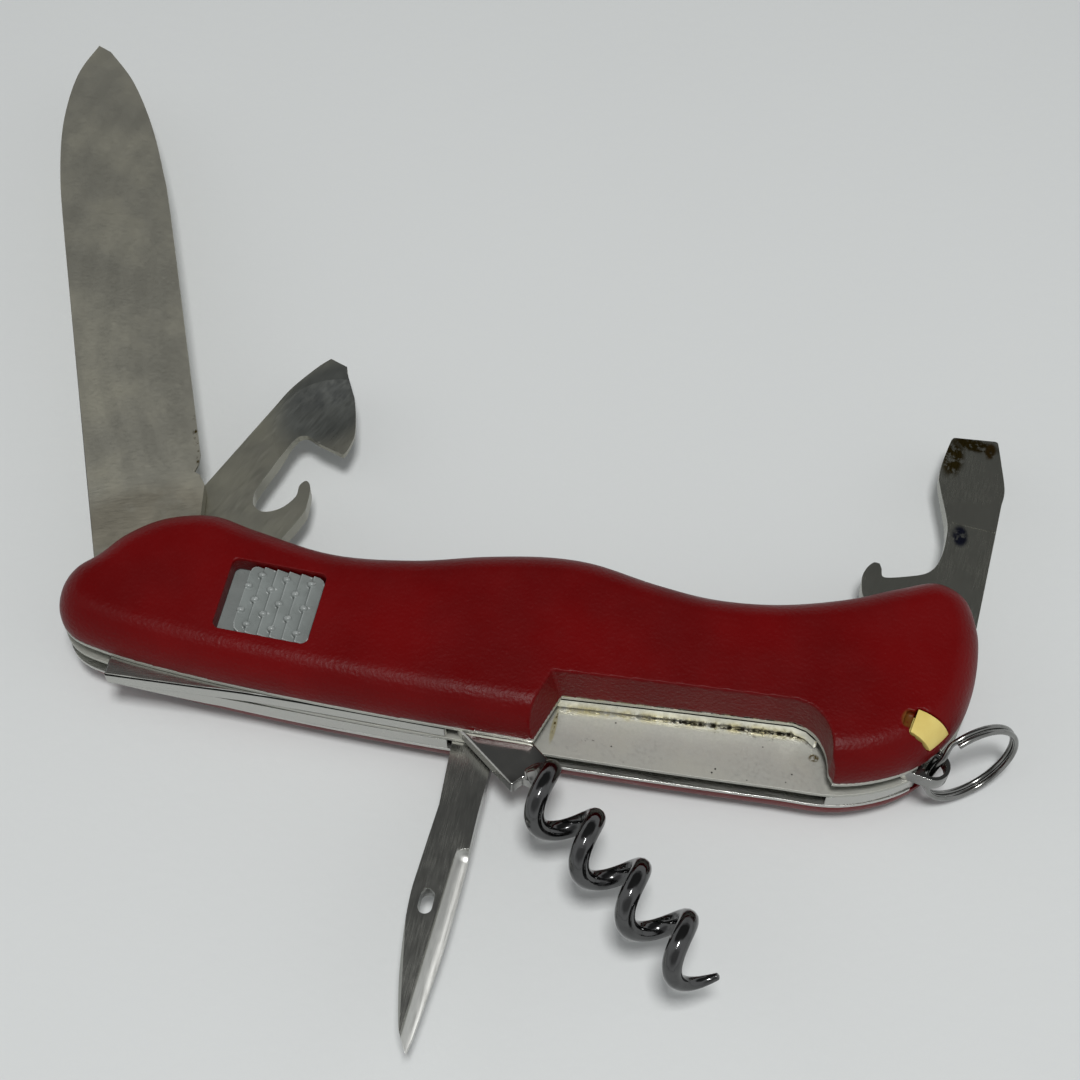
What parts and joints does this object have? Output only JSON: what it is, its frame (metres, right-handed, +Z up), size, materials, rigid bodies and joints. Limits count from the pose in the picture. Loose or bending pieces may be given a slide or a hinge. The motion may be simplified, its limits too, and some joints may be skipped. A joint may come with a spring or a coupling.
{
  "type": "pocket multi-tool with corkscrew",
  "caption": "Two-layer pocket tool: slide-lock blade, can and bottle openers, corkscrew, sewing reamer, toothpick, tweezers and split ring between red moulded scales.",
  "frame": {"origin": "middle of the rear scale's flat outer face, on the handle's long axis", "axes": "+X along the handle towards the key ring, +Y towards the side the blade folds into, +Z up through the layers from the rear scale to the front scale"},
  "size_m": [0.1447, 0.136, 0.0176],
  "materials": {
    "red_nylon": "moulded dark red nylon, satin",
    "spring_steel": "ground stainless steel",
    "blade_steel": "brushed stainless steel, satin grey",
    "tool_steel": "polished stainless steel, grey",
    "dark_chrome": "hard dark chrome, polished",
    "nickel": "nickel plated steel",
    "brass": "turned brass",
    "grey_plastic": "moulded grey plastic",
    "ivory_plastic": "ivory coloured plastic"
  },
  "bodies": {
    "handle": {"rear_scale": "red_nylon", "rear_liner": "spring_steel", "opener_spring": "spring_steel", "centre_liner": "spring_steel", "blade_spring": "spring_steel", "front_liner": "spring_steel", "front_scale": "red_nylon", "blade_end_rivet": "brass", "blade_end_rear_bushing": "brass", "blade_end_front_bushing": "brass", "opener_end_rivet": "brass", "opener_end_rear_bushing": "brass", "opener_end_front_bushing": "brass", "middle_rivet": "brass", "back_tool_rivet": "brass", "shackle_rivet": "brass", "key_ring_shackle": "nickel", "lock_return_spring": "spring_steel"},
    "blade": {"main_blade": "blade_steel"},
    "can_opener": {"can_opener": "tool_steel"},
    "bottle_opener": {"bottle_opener": "tool_steel"},
    "corkscrew": {"corkscrew": "dark_chrome"},
    "reamer": {"reamer": "tool_steel"},
    "lock": {"lock_button": "grey_plastic", "lock_plate": "spring_steel"},
    "toothpick": {"toothpick": "ivory_plastic"},
    "tweezers": {"tweezer_head": "grey_plastic", "tweezer_leaf_rear": "spring_steel", "tweezer_leaf_front": "spring_steel"},
    "key_ring": {"key_ring": "nickel"}
  },
  "joints": [
    {"name": "blade_fold", "type": "hinge", "parent": "handle", "child": "blade", "pos_m": [-0.0458, -0.0018, 0.01035], "axis": [0, 0, 1], "range_deg": [-106.4, 73.6]},
    {"name": "can_opener_fold", "type": "hinge", "parent": "handle", "child": "can_opener", "pos_m": [-0.0458, -0.0018, 0.00725], "axis": [0, 0, 1], "range_deg": [-61.8, 118.2]},
    {"name": "bottle_opener_fold", "type": "hinge", "parent": "handle", "child": "bottle_opener", "pos_m": [0.0494, 0.0098, 0.00725], "axis": [0, 0, 1], "range_deg": [-76.3, 103.7]},
    {"name": "corkscrew_fold", "type": "hinge", "parent": "handle", "child": "corkscrew", "pos_m": [-0.0021, -0.0096, 0.01035], "axis": [0, 0, 1], "range_deg": [-51.8, 43.2]},
    {"name": "reamer_fold", "type": "hinge", "parent": "handle", "child": "reamer", "pos_m": [-0.0021, -0.0096, 0.00725], "axis": [0, 0, 1], "range_deg": [0, 95]},
    {"name": "lock_slide", "type": "slide", "parent": "handle", "child": "lock", "axis": [-1, 0, 0], "range_m": [0, 0.0019], "stiffness_N_per_m": 60, "springref_m": -0.002, "deforming": ["lock_return_spring"]},
    {"name": "toothpick_slide", "type": "slide", "parent": "handle", "child": "toothpick", "axis": [0.9816, -0.1908, 0], "range_m": [0, 0.05]},
    {"name": "tweezers_slide", "type": "slide", "parent": "handle", "child": "tweezers", "axis": [1, 0, 0], "range_m": [0, 0.044]},
    {"name": "ring_swing", "type": "hinge", "parent": "handle", "child": "key_ring", "pos_m": [0.052, -0.00475, 0.01035], "axis": [0, 0, 1], "range_deg": [-90, 0]}
  ]
}
